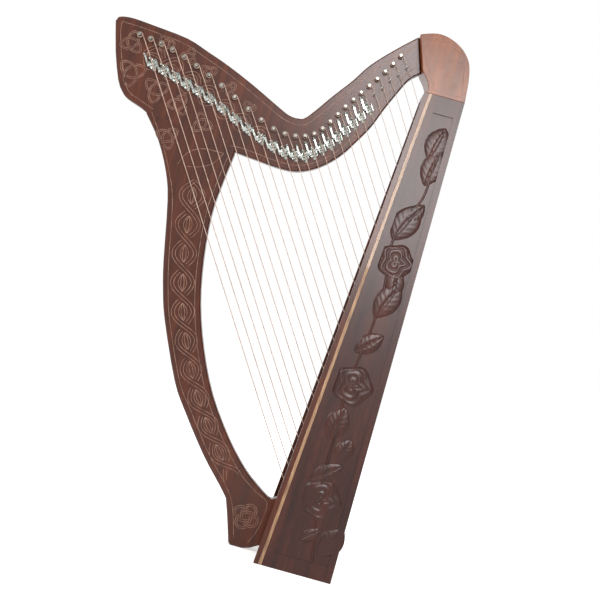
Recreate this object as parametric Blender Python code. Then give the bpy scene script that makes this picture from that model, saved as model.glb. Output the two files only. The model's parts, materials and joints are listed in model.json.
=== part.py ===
"""Twenty-seven string lever harp: curved pillar, neck with head, shoulder and carved soundbox.

Units are metres and +Z is up. The harp stands on the flat bottom of its soundbox and on the
tip of the pillar's foot. The origin is the centre of the soundbox's bottom face. X runs from
the pillar towards the soundbox, and the strings, levers and bridge pins are on the -Y side.
"""

import math

import bmesh
import bpy
from mathutils import Matrix, Vector

MM = 0.001

# Gap between pieces that touch
GAP = 0.3 * MM

# Soundbox: a tall tapered box, its soundboard leaning towards the back
BOX_HEIGHT = 797 * MM
BOX_FRONT_X = -60 * MM
BOX_FRONT_LEAN = 65 / 797
BOX_BACK_X = 58 * MM
BOX_BACK_LEAN = 6.5 / 797
BOX_BOTTOM_HALF_WIDTH = 120 * MM
BOX_TOP_HALF_WIDTH = 47 * MM
BOX_TAPER = (BOX_BOTTOM_HALF_WIDTH - BOX_TOP_HALF_WIDTH) / BOX_HEIGHT

SOUNDBOARD_THICKNESS = 5 * MM
SIDE_PANEL_THICKNESS = 11 * MM
BACK_PANEL_THICKNESS = 8 * MM
BASE_BLOCK_HEIGHT = 28 * MM
EDGE_STRIP_DEPTH = 8 * MM
EDGE_STRIP_WIDTH = 12 * MM

# Recessed field of the carved side panels
CARVED_FIELD_DEPTH = 2.5 * MM
CARVED_FIELD_BORDER = 11 * MM
CARVED_FIELD_BOTTOM = 24 * MM
CARVED_FIELD_TOP = 768 * MM

# Sound holes in the back panel: height of the centre, half width, half height
SOUND_HOLES = ((205 * MM, 50 * MM, 68 * MM), (425 * MM, 42 * MM, 58 * MM), (620 * MM, 32 * MM, 46 * MM))
SOUND_HOLE_SIDES = 28

# String rib down the middle of the soundboard, and the knot strip inside the soundbox
RIB_WIDTH = 18 * MM
RIB_THICKNESS = 3 * MM
RIB_BOTTOM = 108 * MM
RIB_TOP = 782 * MM
KNOT_STRIP_WIDTH = 24 * MM
KNOT_STRIP_THICKNESS = 5 * MM

# Neck and pillar boards
BOARD_FACE_Y = -12 * MM
BOARD_BACK_Y = 16 * MM
BOARD_EDGE_BEVEL = 2 * MM
CAP_EDGE_BEVEL = 4 * MM

# Outlines of pillar, neck and shoulder, as X and Z in millimetres
NECK_JOINT_FRONT = (-434, 648)
NECK_JOINT_BACK = (-275, 624)
PILLAR_OUTER = [
    NECK_JOINT_FRONT, (-402, 609), (-377, 564), (-361, 518), (-341, 421), (-329, 374),
    (-313, 327), (-271, 236), (-242, 193), (-193, 131), (-155, 91), (-138, 72),
]
PILLAR_FOOT = [(-129, 47), (-115, 4), (-111, 0), (-91, 0), (-78, 4), (-66, 11), (-59, 13)]
PILLAR_CROTCH = [(-52.7, 99), (-57, 95), (-66, 89.5)]
PILLAR_INNER = [
    (-73, 92), (-94, 106), (-120, 126), (-158, 166), (-204, 229), (-238, 297),
    (-263, 367), (-278, 439), (-285, 513), (-282, 565), NECK_JOINT_BACK,
]
NECK_CHIN = [NECK_JOINT_FRONT, (-443, 653), (-458, 658), (-472, 663)]
NECK_HEAD_FRONT = [(-481, 671), (-492, 687), (-509, 732), (-522, 780)]
NECK_HEAD_TOP = [(-519, 787), (-511, 790), (-493, 791.5), (-459, 789), (-400, 783)]
NECK_TOP = [
    (-362, 771), (-324, 758), (-276, 738), (-225, 714), (-206, 706), (-190, 705),
    (-176, 712), (-144, 757), (-120, 789), (-100, 820), (-68, 855), (-34, 887),
]
NECK_CAP_JOINT_TOP = (-34, 887)
NECK_CAP_JOINT_BOTTOM = (-15, 830)
NECK_UNDERSIDE = [
    NECK_CAP_JOINT_BOTTOM, (-32, 814), (-46, 785), (-59, 755), (-70, 726), (-86, 697),
    (-108, 663), (-138, 635), (-170, 620), (-203, 618), (-240, 621), (-264, 623),
]
CAP_TOP = [
    NECK_CAP_JOINT_TOP, (-18, 893), (-2, 896), (16, 893), (35, 884), (49, 871), (57, 856),
    (62, 831), (64.5, 797),
]
CAP_INNER = [(-1, 797), (1.5, 803), (-1, 812), (-7, 821), NECK_CAP_JOINT_BOTTOM]

# Strings: number, slant, and the gap between neighbours, which narrows towards the bass
STRING_COUNT = 27
FIRST_LEVERED_STRING = 5
STRING_DOWN = Vector((0.544, 0.0, -0.839)).normalized()
ACROSS = Vector((STRING_DOWN.z, 0.0, -STRING_DOWN.x))
FIRST_STRING_ACROSS = -420 * MM
STRING_SPACING = 16.1 * MM
SPACING_LOSS = 0.0325 * MM
THINNEST_STRING_RADIUS = 0.35 * MM
THICKEST_STRING_RADIUS = 0.75 * MM
STRING_SIDES = 6
STRING_HOLE_RADIUS = 1.5 * MM
STRING_HOLE_SIDES = 8
KNOT_RADIUS = 2 * MM
KNOT_LENGTH = 4 * MM

# Bridge row and tuning pin row: string number and height along the strings, in millimetres
BRIDGE_ROW = [
    (0, 720), (2, 708), (4, 692), (6, 675.5), (8, 661), (10, 648), (12, 641.5), (13, 641.5),
    (15, 657), (17, 691), (19, 733.5), (21, 778), (23, 812), (25, 845), (26, 860),
]
TUNING_ROW = [
    (0, 741), (2, 724), (5, 703), (7, 689), (9, 673), (11, 662), (13, 668), (15, 690),
    (17, 733), (19, 783), (22, 846), (24, 878), (26, 903),
]
BRIDGE_OFFSET = 13 * MM
WINDING_OFFSET = 8.5 * MM

# Tuning pins
PIN_RADIUS = 3.2 * MM
PIN_SIDES = 8
PIN_STRING_SIDE = 16 * MM
PIN_HEAD_SIDE = 20 * MM
PIN_HEAD_TAPER = 3 * MM
PIN_SQUARE = 5 * MM
PIN_CHAMFER = 0.7 * MM
PIN_HOLE_RADIUS = 3.8 * MM
WINDING_GAP = 0.4 * MM
STRING_DEFLECTION = 1 * MM

# Sharping levers
LEVER_BELOW_BRIDGE = 9 * MM
LEVER_PIVOT_OFFSET = 5 * MM
BARREL_RADIUS = 2.6 * MM
BARREL_TREBLE_END = -3 * MM
BARREL_BASS_END = 9.4 * MM
CAM_REACH = 6 * MM
CAM_WIDTH = 2.4 * MM
CAM_HALF_LENGTH = 2 * MM
CAM_REST_ANGLE = math.radians(-30)
HANDLE_ACROSS = 8 * MM
HANDLE_WIDTH = 2.8 * MM
HANDLE_THICKNESS = 2.2 * MM
HANDLE_BALL_DISTANCE = 20 * MM
HANDLE_BALL_RADIUS = 2.5 * MM


def clear_scene():
    """Remove every object that the file already holds."""
    for item in list(bpy.data.objects):
        bpy.data.objects.remove(item, do_unlink=True)


def make_material(name, colour, roughness, metallic=0.0):
    """Make a plain surface with one colour, roughness and metallic value."""
    material = bpy.data.materials.new(name)
    material.use_nodes = True
    shader = material.node_tree.nodes["Principled BSDF"]
    shader.inputs["Base Color"].default_value = (*colour, 1.0)
    shader.inputs["Roughness"].default_value = roughness
    shader.inputs["Metallic"].default_value = metallic
    return material


def lacquered_rosewood():
    """Dark reddish-brown wood under gloss lacquer."""
    return make_material("lacquered_rosewood", (0.060, 0.019, 0.009), 0.28)


def birch_plywood():
    """Tan plywood of the soundboard."""
    return make_material("birch_plywood", (0.30, 0.17, 0.09), 0.5)


def nickel():
    """Bright plated metal of the levers."""
    return make_material("nickel", (0.62, 0.61, 0.58), 0.25, 1.0)


def pin_steel():
    """Darker steel of the tuning pins."""
    return make_material("pin_steel", (0.32, 0.31, 0.30), 0.35, 1.0)


def nylon():
    """Pale nylon of the strings."""
    return make_material("nylon", (0.62, 0.52, 0.47), 0.4)


def add_object(name, mesh, material):
    """Link an object that holds the mesh and give it the material."""
    if not mesh.materials:
        mesh.materials.append(material)
    item = bpy.data.objects.new(name, mesh)
    bpy.context.collection.objects.link(item)
    return item


def mesh_from(name, builder):
    """Turn a bmesh into a mesh with its faces pointing out."""
    bmesh.ops.recalc_face_normals(builder, faces=builder.faces)
    mesh = bpy.data.meshes.new(name)
    builder.to_mesh(mesh)
    builder.free()
    return mesh


def smooth_run(points, steps):
    """Points along a smooth curve through the given ones, in metres."""
    padded = [points[0], *points, points[-1]]
    run = []
    for index in range(1, len(padded) - 2):
        before, start, end, after = (Vector(padded[index + shift]) for shift in (-1, 0, 1, 2))
        for step in range(steps):
            t = step / steps
            point = 0.5 * (
                2 * start
                + (end - before) * t
                + (2 * before - 5 * start + 4 * end - after) * t ** 2
                + (3 * start - before - 3 * end + after) * t ** 3
            )
            run.append(point * MM)
    run.append(Vector(points[-1]) * MM)
    return run


def without_repeats(points):
    """Drop each point that lies on the one before it, and a last one on the first."""
    kept = []
    for point in points:
        if not kept or (point - kept[-1]).length > GAP:
            kept.append(point)
    if (kept[0] - kept[-1]).length <= GAP:
        kept.pop()
    return kept


def extrude_outline(name, outline, near_y, far_y):
    """Mesh of a closed X and Z outline carried from near_y to far_y, each a value or a rule of Z."""
    near_rule = near_y if callable(near_y) else lambda z: near_y
    far_rule = far_y if callable(far_y) else lambda z: far_y
    builder = bmesh.new()
    near = [builder.verts.new((x, near_rule(z), z)) for x, z in outline]
    far = [builder.verts.new((x, far_rule(z), z)) for x, z in outline]
    builder.faces.new(near)
    builder.faces.new(reversed(far))
    count = len(outline)
    for index in range(count):
        after = (index + 1) % count
        builder.faces.new((near[index], far[index], far[after], near[after]))
    return mesh_from(name, builder)


def round_edges(item, width, segments):
    """Ease the sharp edges of an object."""
    bevel = item.modifiers.new("eased_edges", "BEVEL")
    bevel.width = width
    bevel.segments = segments
    bevel.limit_method = "ANGLE"
    bevel.angle_limit = math.radians(50)


def cut_with(item, cutter):
    """Take the cutter's shape out of an object."""
    cut = item.modifiers.new("cut_" + cutter.name, "BOOLEAN")
    cut.operation = "DIFFERENCE"
    cut.solver = "EXACT"
    cut.object = cutter


def as_helper(item):
    """Mark an object as a cutter or a guide."""
    item.hide_render = True
    item.display_type = "WIRE"
    return item


def front_x(z, offset=0.0):
    """X of the soundboard's front face at height z, moved back by offset."""
    return BOX_FRONT_X + BOX_FRONT_LEAN * z + offset


def back_x(z, offset=0.0):
    """X of the soundbox's back at height z, moved back by offset."""
    return BOX_BACK_X + BOX_BACK_LEAN * z + offset


def half_width(z, offset=0.0):
    """Half width of the soundbox at height z, widened by offset."""
    return BOX_BOTTOM_HALF_WIDTH - BOX_TAPER * z + offset


def add_slab(builder, x_rules, y_rules, heights):
    """Add a closed box whose X and Y limits are rules of its height."""
    corners = []
    for z in heights:
        for x_rule, y_rule in ((0, 0), (1, 0), (1, 1), (0, 1)):
            corners.append(builder.verts.new((x_rules[x_rule](z), y_rules[y_rule](z), z)))
    for face in ((0, 1, 2, 3), (7, 6, 5, 4), (0, 4, 5, 1), (1, 5, 6, 2), (2, 6, 7, 3), (3, 7, 4, 0)):
        builder.faces.new([corners[index] for index in face])


def slab(name, x_rules, y_rules, heights):
    """Mesh of one slab."""
    builder = bmesh.new()
    add_slab(builder, x_rules, y_rules, heights)
    return mesh_from(name, builder)


def make_soundboard(wood, string_holes):
    """Thin board across the whole front of the soundbox, drilled for the strings."""
    mesh = slab(
        "soundboard",
        (lambda z: front_x(z, 0), lambda z: front_x(z, SOUNDBOARD_THICKNESS)),
        (lambda z: -half_width(z), lambda z: half_width(z)),
        (0.0, BOX_HEIGHT),
    )
    cut_with(add_object("soundboard", mesh, wood), string_holes)


def make_edge_strips(wood):
    """Strips along both edges of the soundboard, joined across its top."""
    ordered = sorted_strip_outline()
    builder = bmesh.new()
    rings = []
    for offset in (-EDGE_STRIP_DEPTH, -GAP):
        rings.append([builder.verts.new((front_x(z, offset), y, z)) for y, z in ordered])
    builder.faces.new(rings[0])
    builder.faces.new(rings[1][::-1])
    for index in range(len(ordered)):
        after = (index + 1) % len(ordered)
        builder.faces.new((rings[0][index], rings[1][index], rings[1][after], rings[0][after]))
    add_object("soundboard_edge_strips", mesh_from("soundboard_edge_strips", builder), wood)


def sorted_strip_outline():
    """Y and Z corners of the edge strips, once round."""
    inner_top = BOX_HEIGHT - EDGE_STRIP_WIDTH
    outer = [(-half_width(0), 0.0), (-half_width(BOX_HEIGHT), BOX_HEIGHT)]
    outer += [(half_width(BOX_HEIGHT), BOX_HEIGHT), (half_width(0), 0.0)]
    inner = [(half_width(0, -EDGE_STRIP_WIDTH), 0.0)]
    inner += [(half_width(inner_top, -EDGE_STRIP_WIDTH), inner_top)]
    inner += [(-half_width(inner_top, -EDGE_STRIP_WIDTH), inner_top)]
    inner += [(-half_width(0, -EDGE_STRIP_WIDTH), 0.0)]
    return outer + inner


def make_string_rib(wood, string_holes):
    """Outer rib that carries the strings down the middle of the soundboard."""
    mesh = slab(
        "string_rib",
        (lambda z: front_x(z, -RIB_THICKNESS - GAP), lambda z: front_x(z, -GAP)),
        (lambda z: -RIB_WIDTH / 2, lambda z: RIB_WIDTH / 2),
        (RIB_BOTTOM, RIB_TOP),
    )
    cut_with(add_object("string_rib", mesh, wood), string_holes)


def make_side_panel(name, side, wood):
    """One side of the soundbox, with the sunk field that holds the carving."""
    front_offset = SOUNDBOARD_THICKNESS + GAP
    mesh = slab(
        name,
        (lambda z: front_x(z, front_offset), lambda z: back_x(z)),
        (lambda z: side * half_width(z), lambda z: side * half_width(z, -SIDE_PANEL_THICKNESS)),
        (0.0, BOX_HEIGHT),
    )
    panel = add_object(name, mesh, wood)
    border = CARVED_FIELD_BORDER
    field = slab(
        name + "_field",
        (lambda z: front_x(z, front_offset + border), lambda z: back_x(z, -border)),
        (lambda z: side * half_width(z, 1.0 * MM), lambda z: side * half_width(z, -CARVED_FIELD_DEPTH)),
        (CARVED_FIELD_BOTTOM, CARVED_FIELD_TOP),
    )
    cut_with(panel, as_helper(add_object(name + "_field", field, wood)))


def make_back_panel(wood):
    """Back of the soundbox, set between the sides, with three oval sound holes."""
    inset = SIDE_PANEL_THICKNESS + GAP
    mesh = slab(
        "back_panel",
        (lambda z: back_x(z, -BACK_PANEL_THICKNESS), lambda z: back_x(z)),
        (lambda z: -half_width(z, -inset), lambda z: half_width(z, -inset)),
        (0.0, BOX_HEIGHT),
    )
    panel = add_object("back_panel", mesh, wood)
    builder = bmesh.new()
    for centre_z, half_y, half_z in SOUND_HOLES:
        rings = []
        for x in (BOX_BACK_X - 3 * BACK_PANEL_THICKNESS, BOX_BACK_X + 3 * BACK_PANEL_THICKNESS):
            ring = []
            for step in range(SOUND_HOLE_SIDES):
                angle = 2 * math.pi * step / SOUND_HOLE_SIDES
                place = (x, half_y * math.cos(angle), centre_z + half_z * math.sin(angle))
                ring.append(builder.verts.new(place))
            rings.append(ring)
        builder.faces.new(rings[0])
        builder.faces.new(rings[1][::-1])
        for index in range(SOUND_HOLE_SIDES):
            after = (index + 1) % SOUND_HOLE_SIDES
            builder.faces.new((rings[0][index], rings[1][index], rings[1][after], rings[0][after]))
    holes = add_object("sound_hole_shapes", mesh_from("sound_hole_shapes", builder), wood)
    cut_with(panel, as_helper(holes))


def make_base_block(wood):
    """Thick block that closes the bottom of the soundbox."""
    front_offset = SOUNDBOARD_THICKNESS + GAP
    inset = SIDE_PANEL_THICKNESS + GAP
    mesh = slab(
        "base_block",
        (lambda z: front_x(z, front_offset), lambda z: back_x(z, -BACK_PANEL_THICKNESS - GAP)),
        (lambda z: -half_width(z, -inset), lambda z: half_width(z, -inset)),
        (0.0, BASE_BLOCK_HEIGHT),
    )
    add_object("base_block", mesh, wood)


def make_pillar(wood):
    """Curved front pillar, from the joint with the neck to the foot on the soundbox."""
    foot_x = front_x(0.013, -GAP)
    outline = smooth_run(PILLAR_OUTER, 3)
    outline += [Vector(point) * MM for point in PILLAR_FOOT[:-1]]
    outline += [Vector((foot_x, PILLAR_FOOT[-1][1] * MM))]
    crotch_z = PILLAR_CROTCH[0][1] * MM
    outline += [Vector((front_x(crotch_z, -GAP), crotch_z))]
    outline += [Vector(point) * MM for point in PILLAR_CROTCH[1:]]
    outline += smooth_run(PILLAR_INNER, 3)
    mesh = extrude_outline("pillar", without_repeats(outline), BOARD_FACE_Y, BOARD_BACK_Y)
    round_edges(add_object("pillar", mesh, wood), BOARD_EDGE_BEVEL, 1)


def raised(point):
    """A joint corner of the neck, a gap above the pillar's own corner."""
    return (point[0], point[1] + GAP / MM)


def drawn_in(point):
    """A joint corner of the neck, a gap short of the shoulder's own corner."""
    return (point[0] - GAP / MM, point[1])


def make_neck(wood, pin_holes):
    """Neck with its head, curved for the string lengths and drilled for the tuning pins."""
    chin = [raised(NECK_CHIN[0]), *NECK_CHIN[1:]]
    top = [*NECK_TOP[:-1], drawn_in(NECK_TOP[-1])]
    under = [drawn_in(NECK_UNDERSIDE[0]), *NECK_UNDERSIDE[1:], raised(NECK_JOINT_BACK)]
    outline = smooth_run(chin + NECK_HEAD_FRONT, 2)
    outline += smooth_run(NECK_HEAD_TOP + top, 3)
    outline += smooth_run(under, 3)
    mesh = extrude_outline("neck", without_repeats(outline), BOARD_FACE_Y, BOARD_BACK_Y)
    neck = add_object("neck", mesh, wood)
    round_edges(neck, BOARD_EDGE_BEVEL, 1)
    cut_with(neck, pin_holes)


def make_shoulder(wood):
    """Solid shoulder that joins the neck to the top of the soundbox."""
    outline = smooth_run(CAP_TOP, 3) + smooth_run(CAP_INNER, 3)
    lifted = [Vector((x, z + GAP)) if z <= BOX_HEIGHT else Vector((x, z)) for x, z in outline]
    mesh = extrude_outline(
        "shoulder_cap", without_repeats(lifted), lambda z: -half_width(z), lambda z: half_width(z)
    )
    round_edges(add_object("shoulder_cap", mesh, wood), CAP_EDGE_BEVEL, 2)


def row_height(row, number):
    """Height of a row at one string, on a smooth curve through the row's points."""
    heights = {}
    for index in range(len(row) - 1):
        start, end = row[index], row[index + 1]
        before = row[index - 1] if index else start
        after = row[index + 2] if index + 2 < len(row) else end
        slope_in = (end[1] - before[1]) / (end[0] - before[0])
        slope_out = (after[1] - start[1]) / (after[0] - start[0])
        span = end[0] - start[0]
        for whole in range(start[0], end[0] + 1):
            t = (whole - start[0]) / span
            heights[whole] = (
                (2 * t ** 3 - 3 * t ** 2 + 1) * start[1]
                + (t ** 3 - 2 * t ** 2 + t) * span * slope_in
                + (3 * t ** 2 - 2 * t ** 3) * end[1]
                + (t ** 3 - t ** 2) * span * slope_out
            )
    return heights[number] * MM


def string_radius(number):
    """Radius of a string, thin in the treble and thick in the bass."""
    share = number / (STRING_COUNT - 1)
    return THINNEST_STRING_RADIUS + share * (THICKEST_STRING_RADIUS - THINNEST_STRING_RADIUS)


def string_across(number):
    """Place of a string across the harp, from the treble to the bass."""
    return FIRST_STRING_ACROSS + STRING_SPACING * number - SPACING_LOSS * number ** 2


def place(along, across, y):
    """Point from its heights along and across the strings."""
    point = -STRING_DOWN * along + ACROSS * across
    return Vector((point.x, y, point.z))


def bridge_point(number):
    """Where a string bends over its bridge pin."""
    along = row_height(BRIDGE_ROW, number)
    return place(along, string_across(number), BOARD_FACE_Y - BRIDGE_OFFSET)


def pin_axis_point(number):
    """Where a tuning pin's axis crosses the neck's face."""
    lead = PIN_RADIUS + WINDING_GAP + string_radius(number) + STRING_DEFLECTION
    along = row_height(TUNING_ROW, number)
    return place(along, string_across(number) + lead, BOARD_FACE_Y)


def soundboard_point(number):
    """Where a string meets the front face of the soundboard, on its middle line."""
    top = bridge_point(number)
    run = (front_x(top.z) - top.x) / (STRING_DOWN.x - BOX_FRONT_LEAN * STRING_DOWN.z)
    bottom = top + STRING_DOWN * run
    return Vector((bottom.x, 0.0, bottom.z))


def add_tube(builder, points, radii, sides):
    """Add a closed tube with a ring of its own radius at each point."""
    rings = []
    for index, point in enumerate(points):
        before = points[max(index - 1, 0)]
        after = points[min(index + 1, len(points) - 1)]
        turn = (after - before).to_track_quat("Z", "Y").to_matrix()
        ring = []
        for step in range(sides):
            angle = 2 * math.pi * step / sides
            spoke = Vector((math.cos(angle), math.sin(angle), 0.0)) * radii[index]
            ring.append(builder.verts.new(point + turn @ spoke))
        rings.append(ring)
    builder.faces.new(rings[0][::-1])
    builder.faces.new(rings[-1])
    for lower, upper in zip(rings, rings[1:]):
        for index in range(sides):
            after = (index + 1) % sides
            builder.faces.new((lower[index], lower[after], upper[after], upper[index]))


def make_string_holes(wood):
    """Shapes of the holes that let the strings through the rib and the soundboard."""
    builder = bmesh.new()
    for number in range(STRING_COUNT):
        centre = soundboard_point(number)
        down = (centre - bridge_point(number)).normalized()
        reach = 4 * SOUNDBOARD_THICKNESS
        ends = [centre - down * reach, centre + down * reach]
        add_tube(builder, ends, [STRING_HOLE_RADIUS] * 2, STRING_HOLE_SIDES)
    return as_helper(add_object("string_hole_shapes", mesh_from("string_hole_shapes", builder), wood))


def make_pin_holes(wood):
    """Shapes of the holes that the tuning pins turn in."""
    builder = bmesh.new()
    for number in range(STRING_COUNT):
        axis = pin_axis_point(number)
        ends = [Vector((axis.x, y, axis.z)) for y in (2 * BOARD_FACE_Y, 2 * BOARD_BACK_Y)]
        add_tube(builder, ends, [PIN_HOLE_RADIUS] * 2, PIN_SIDES)
    return as_helper(add_object("pin_hole_shapes", mesh_from("pin_hole_shapes", builder), wood))


def make_strings(material):
    """All strings, each from its tuning pin over its bridge point to its knot inside."""
    builder = bmesh.new()
    for number in range(STRING_COUNT):
        radius = string_radius(number)
        axis = pin_axis_point(number)
        start = axis - ACROSS * (PIN_RADIUS + WINDING_GAP + radius)
        start.y = BOARD_FACE_Y - WINDING_OFFSET
        bridge = bridge_point(number)
        centre = soundboard_point(number)
        down = (centre - bridge).normalized()
        depth = SOUNDBOARD_THICKNESS + GAP + KNOT_STRIP_THICKNESS
        strip_back = centre + down * (depth / (down.x - BOX_FRONT_LEAN * down.z))
        knot_start = strip_back - down * (KNOT_STRIP_THICKNESS / 2)
        knot_end = strip_back + down * KNOT_LENGTH
        points = [start, bridge, knot_start, knot_start + down * MM, knot_end]
        add_tube(builder, points, [radius, radius, radius, KNOT_RADIUS, KNOT_RADIUS], STRING_SIDES)
    tubes = as_helper(add_object("string_tubes", mesh_from("string_tubes", builder), material))
    near = SOUNDBOARD_THICKNESS + GAP
    mesh = slab(
        "strings",
        (lambda z: front_x(z, near), lambda z: front_x(z, near + KNOT_STRIP_THICKNESS)),
        (lambda z: -KNOT_STRIP_WIDTH / 2, lambda z: KNOT_STRIP_WIDTH / 2),
        (RIB_BOTTOM - 2 * RIB_THICKNESS, RIB_TOP),
    )
    strings = add_object("strings", mesh, material)
    join = strings.modifiers.new("join_strings", "BOOLEAN")
    join.operation = "UNION"
    join.solver = "EXACT"
    join.object = tubes


def square_ring(half, per_side):
    """Points round a square, in the same order as a circle's."""
    points = []
    for step in range(PIN_SIDES):
        angle = 2 * math.pi * step / PIN_SIDES + math.pi / 4
        direction = Vector((math.cos(angle), math.sin(angle)))
        stretch = half / max(abs(direction.x), abs(direction.y))
        points.append(direction * (stretch if per_side else half))
    return points


def tuning_pin_mesh():
    """Mesh of a tuning pin on the Y axis, its neck face at the origin and its square head at +Y."""
    board = BOARD_BACK_Y - BOARD_FACE_Y
    half = PIN_SQUARE / 2
    stations = [
        (-PIN_STRING_SIDE, PIN_RADIUS - PIN_CHAMFER, False),
        (-PIN_STRING_SIDE + PIN_CHAMFER, PIN_RADIUS, False),
        (board + PIN_CHAMFER, PIN_RADIUS, False),
        (board + PIN_CHAMFER + PIN_HEAD_TAPER, half, True),
        (board + PIN_HEAD_SIDE - PIN_CHAMFER, half, True),
        (board + PIN_HEAD_SIDE, half - PIN_CHAMFER, True),
    ]
    builder = bmesh.new()
    rings = []
    for y, size, is_square in stations:
        rings.append([builder.verts.new((p.x, y, p.y)) for p in square_ring(size, is_square)])
    builder.faces.new(rings[0])
    builder.faces.new(rings[-1][::-1])
    for lower, upper in zip(rings, rings[1:]):
        for index in range(PIN_SIDES):
            after = (index + 1) % PIN_SIDES
            builder.faces.new((lower[index], upper[index], upper[after], lower[after]))
    return mesh_from("tuning_pin", builder)


def make_tuning_pins(material):
    """One turning pin for each string, its origin on its own axis."""
    mesh = tuning_pin_mesh()
    for number in range(STRING_COUNT):
        pin = add_object(f"tuning_pin_{number + 1:02d}", mesh, material)
        pin.location = pin_axis_point(number)


def box_mesh(name, low, high):
    """Mesh of an upright box between two corners."""
    builder = bmesh.new()
    add_slab(
        builder,
        (lambda z: low[0], lambda z: high[0]),
        (lambda z: low[1], lambda z: high[1]),
        (low[2], high[2]),
    )
    return mesh_from(name, builder)


def lever_mesh(material):
    """Mesh of a lever: X is its pivot, +Z its handle at rest and +Y points out from the neck."""
    builder = bmesh.new()
    ends = [Vector((BARREL_TREBLE_END, 0.0, 0.0)), Vector((BARREL_BASS_END, 0.0, 0.0))]
    add_tube(builder, ends, [BARREL_RADIUS] * 2, PIN_SIDES)
    body = add_object("lever_shape", mesh_from("lever_shape", builder), material)

    half = CAM_WIDTH / 2
    cam = box_mesh("cam_shape", (-CAM_HALF_LENGTH, -half, 0.0), (CAM_HALF_LENGTH, half, CAM_REACH))
    cam.transform(Matrix.Rotation(-CAM_REST_ANGLE, 4, "X"))
    low = (HANDLE_ACROSS - HANDLE_WIDTH / 2, -HANDLE_THICKNESS / 2, 0.0)
    high = (HANDLE_ACROSS + HANDLE_WIDTH / 2, HANDLE_THICKNESS / 2, HANDLE_BALL_DISTANCE)
    arm = box_mesh("arm_shape", low, high)

    ball = bmesh.new()
    centre = Matrix.Translation((HANDLE_ACROSS, 0.0, HANDLE_BALL_DISTANCE))
    bmesh.ops.create_uvsphere(ball, u_segments=8, v_segments=6, radius=HANDLE_BALL_RADIUS, matrix=centre)
    ball_mesh = mesh_from("ball_shape", ball)

    helpers = [body]
    for piece in (cam, arm, ball_mesh):
        helper = as_helper(add_object(piece.name, piece, material))
        join = body.modifiers.new("join_" + piece.name, "BOOLEAN")
        join.operation = "UNION"
        join.solver = "EXACT"
        join.object = helper
        helpers.append(helper)
    graph = bpy.context.evaluated_depsgraph_get()
    mesh = bpy.data.meshes.new_from_object(body.evaluated_get(graph))
    mesh.name = "lever"
    for helper in helpers:
        bpy.data.objects.remove(helper, do_unlink=True)
    return mesh


def make_levers(material):
    """One sharping lever below each bridge pin from the sixth string on."""
    mesh = lever_mesh(material)
    out = Vector((0.0, -1.0, 0.0))
    turn = Matrix((ACROSS, out, -STRING_DOWN)).transposed().to_4x4()
    for number in range(FIRST_LEVERED_STRING, STRING_COUNT):
        along = row_height(BRIDGE_ROW, number) - LEVER_BELOW_BRIDGE
        pivot = place(along, string_across(number), BOARD_FACE_Y - LEVER_PIVOT_OFFSET)
        lever = add_object(f"lever_{number + 1:02d}", mesh, material)
        lever.matrix_world = Matrix.Translation(pivot) @ turn


def main():
    """Build every piece of the harp."""
    clear_scene()
    wood = lacquered_rosewood()
    plywood = birch_plywood()
    string_holes = make_string_holes(wood)
    pin_holes = make_pin_holes(wood)
    make_soundboard(plywood, string_holes)
    make_edge_strips(wood)
    make_string_rib(wood, string_holes)
    make_side_panel("near_side_panel", -1, wood)
    make_side_panel("far_side_panel", 1, wood)
    make_back_panel(wood)
    make_base_block(wood)
    make_pillar(wood)
    make_neck(wood, pin_holes)
    make_shoulder(wood)
    make_strings(nylon())
    make_tuning_pins(pin_steel())
    make_levers(nickel())


main()
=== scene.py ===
"""Looks of the lever harp: lacquered rosewood, engraved knotwork, carved vine panels and metalwork."""

from __future__ import annotations

import json
import logging
import math
from dataclasses import dataclass, field
from enum import Enum
from typing import Any

import bmesh
import bpy
import numpy as np
from mathutils import Matrix, Vector

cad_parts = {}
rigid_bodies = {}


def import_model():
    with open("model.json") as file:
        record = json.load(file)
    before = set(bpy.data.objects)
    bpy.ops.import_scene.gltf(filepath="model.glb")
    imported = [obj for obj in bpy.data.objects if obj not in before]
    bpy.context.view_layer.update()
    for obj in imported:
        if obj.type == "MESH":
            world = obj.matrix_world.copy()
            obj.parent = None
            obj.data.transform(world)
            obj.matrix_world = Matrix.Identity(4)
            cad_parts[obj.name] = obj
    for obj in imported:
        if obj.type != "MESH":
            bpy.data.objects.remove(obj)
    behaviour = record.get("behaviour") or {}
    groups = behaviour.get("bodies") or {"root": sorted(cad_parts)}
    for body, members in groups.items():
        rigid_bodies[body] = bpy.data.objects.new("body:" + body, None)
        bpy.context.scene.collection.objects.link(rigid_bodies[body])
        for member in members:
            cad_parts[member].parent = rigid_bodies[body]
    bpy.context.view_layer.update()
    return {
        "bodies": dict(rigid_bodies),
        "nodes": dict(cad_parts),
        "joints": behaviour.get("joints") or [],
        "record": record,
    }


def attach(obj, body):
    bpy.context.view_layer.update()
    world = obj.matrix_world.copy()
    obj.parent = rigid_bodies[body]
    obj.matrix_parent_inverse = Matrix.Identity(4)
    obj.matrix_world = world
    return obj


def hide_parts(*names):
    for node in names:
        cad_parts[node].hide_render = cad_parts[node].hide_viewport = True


LOG = logging.getLogger("harp")
MM = 0.001

# The photograph's plane: the harp's upright leans left in it by this angle
PHOTO_LEAN = math.radians(15.5)
PHOTO_MM_PER_PIXEL = 1.65
PHOTO_FOOT_PIXEL = (295.0, 561.7)
PHOTO_CENTRE_PIXEL = 300.0
PHOTO_SIZE = 600
CAMERA_DISTANCE = 2.6

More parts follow.
